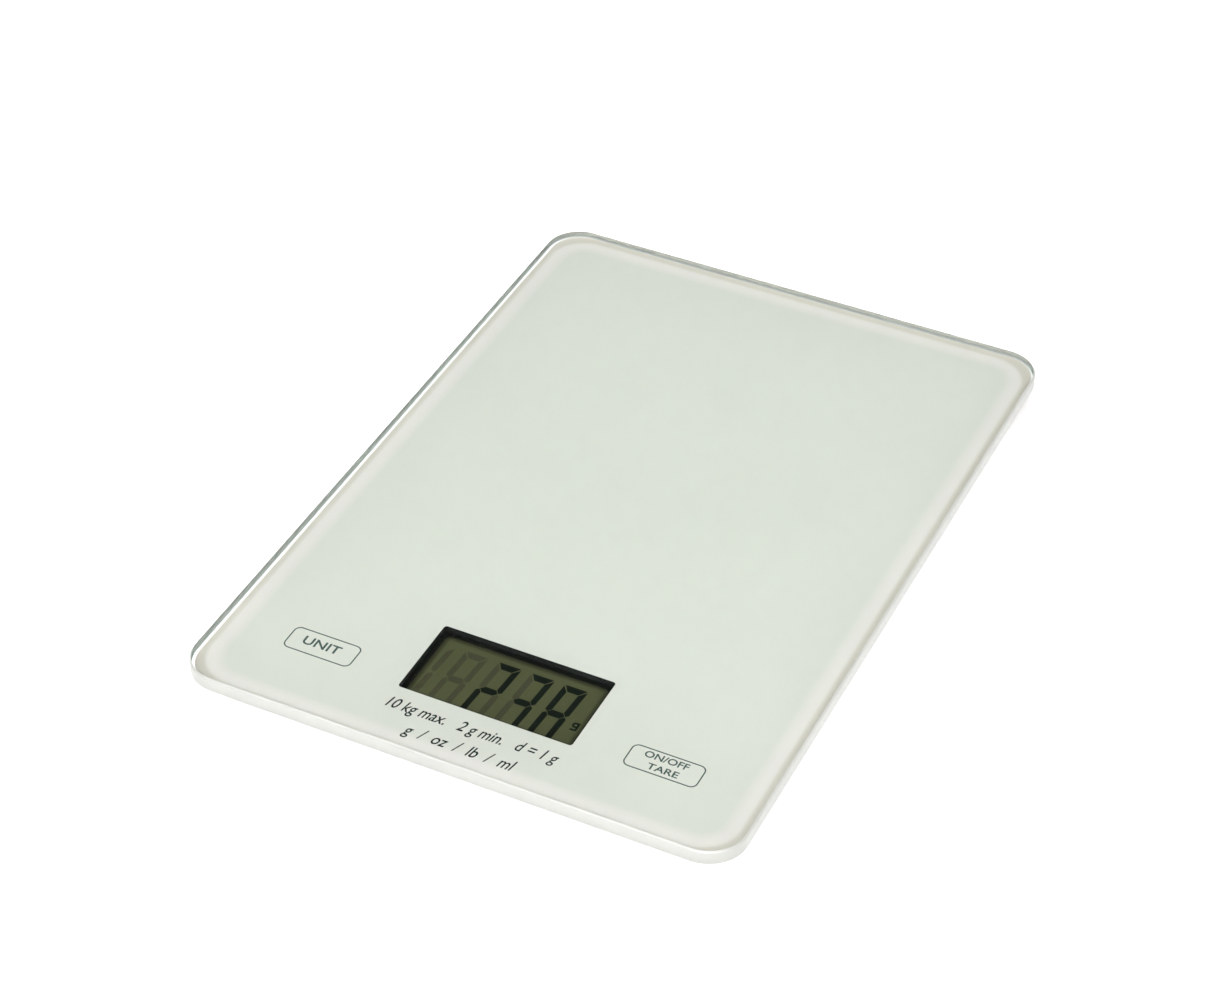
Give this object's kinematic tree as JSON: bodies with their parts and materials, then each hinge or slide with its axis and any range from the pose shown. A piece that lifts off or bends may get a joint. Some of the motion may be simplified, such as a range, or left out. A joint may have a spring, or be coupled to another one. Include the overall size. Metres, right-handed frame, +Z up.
{
  "type": "kitchen scale",
  "caption": "Slim rectangular digital kitchen scale: clear glass platform with white backing, segment display, touch keys, sprung strain-gauge feet and an underside battery door.",
  "frame": {"origin": "middle of the scale's outline, on the surface that its four foot pads stand on", "axes": "+Z up through the glass platform, +Y along the length away from the display, -Y the display end that faces the user, +X to the user's right"},
  "size_m": [0.14, 0.2, 0.016],
  "materials": {
    "glass": "clear float glass with polished arris, faint green in the thickness",
    "print": "white ink fired on the underside of the glass, seen through it",
    "tape": "white foam tape",
    "housing": "white ABS, finely textured",
    "foot_plastic": "white ABS",
    "foot_rubber": "soft grey rubber",
    "steel": "stamped and zinc-plated steel",
    "screw_steel": "zinc-plated steel",
    "contact": "nickel-plated spring steel",
    "cell": "stamped stainless can",
    "gauge": "white silicone over the gauge foil",
    "wire_red": "red PVC insulation",
    "wire_white": "white PVC insulation",
    "wire_black": "black PVC insulation",
    "board": "green solder mask on glass fibre",
    "epoxy": "black potting epoxy",
    "capacitor": "tan ceramic with tinned ends",
    "resistor": "black resistor with tinned ends",
    "copper": "copper foil",
    "lcd_glass": "thin display glass",
    "polariser": "grey-green polarising film",
    "reflector": "matt reflector behind the display",
    "elastomer": "striped conducting elastomer",
    "black_plastic": "black ABS and foam round the display"
  },
  "bodies": {
    "housing": {"glass_platform": "glass", "backing_print": "print", "mounting_tape": "tape", "upper_frame": "housing", "bottom_cover": "housing", "cover_screws": "screw_steel", "coin_cell": "cell", "battery_contact_positive": "contact", "battery_contact_negative": "contact", "battery_wire_positive": "wire_red", "battery_wire_negative": "wire_black", "load_cell_front_left": "steel", "load_cell_front_right": "steel", "load_cell_rear_left": "steel", "load_cell_rear_right": "steel", "strain_gauges": "gauge", "sensor_wires_red": "wire_red", "sensor_wires_white": "wire_white", "sensor_wires_black": "wire_black", "main_board": "board", "board_screws": "screw_steel", "controller_blob": "epoxy", "board_capacitors": "capacitor", "board_resistors": "resistor", "touch_pad_unit": "copper", "touch_pad_tare": "copper", "touch_leads": "copper", "lcd_front_glass": "lcd_glass", "lcd_rear_glass": "lcd_glass", "lcd_polariser": "polariser", "lcd_reflector": "reflector", "zebra_strip": "elastomer", "lcd_holder": "black_plastic", "window_gasket": "black_plastic"},
    "foot_front_left_body": {"foot_front_left": "foot_plastic", "foot_pad_front_left": "foot_rubber", "foot_clip_front_left": "steel"},
    "foot_front_right_body": {"foot_front_right": "foot_plastic", "foot_pad_front_right": "foot_rubber", "foot_clip_front_right": "steel"},
    "foot_rear_left_body": {"foot_rear_left": "foot_plastic", "foot_pad_rear_left": "foot_rubber", "foot_clip_rear_left": "steel"},
    "foot_rear_right_body": {"foot_rear_right": "foot_plastic", "foot_pad_rear_right": "foot_rubber", "foot_clip_rear_right": "steel"},
    "battery_door_body": {"battery_door": "housing"}
  },
  "joints": [
    {"name": "foot_front_left_press", "type": "slide", "parent": "housing", "child": "foot_front_left_body", "axis": [0, 0, 1], "range_m": [0, 0.0003], "stiffness_N_per_m": 60000, "deforming": ["load_cell_front_left"]},
    {"name": "foot_front_right_press", "type": "slide", "parent": "housing", "child": "foot_front_right_body", "axis": [0, 0, 1], "range_m": [0, 0.0003], "stiffness_N_per_m": 60000, "deforming": ["load_cell_front_right"]},
    {"name": "foot_rear_left_press", "type": "slide", "parent": "housing", "child": "foot_rear_left_body", "axis": [0, 0, 1], "range_m": [0, 0.0003], "stiffness_N_per_m": 60000, "deforming": ["load_cell_rear_left"]},
    {"name": "foot_rear_right_press", "type": "slide", "parent": "housing", "child": "foot_rear_right_body", "axis": [0, 0, 1], "range_m": [0, 0.0003], "stiffness_N_per_m": 60000, "deforming": ["load_cell_rear_right"]},
    {"name": "battery_door_hinge", "type": "hinge", "parent": "housing", "child": "battery_door_body", "pos_m": [0, 0.0408, 0.0035], "axis": [1, 0, 0], "range_deg": [0, 90]}
  ]
}
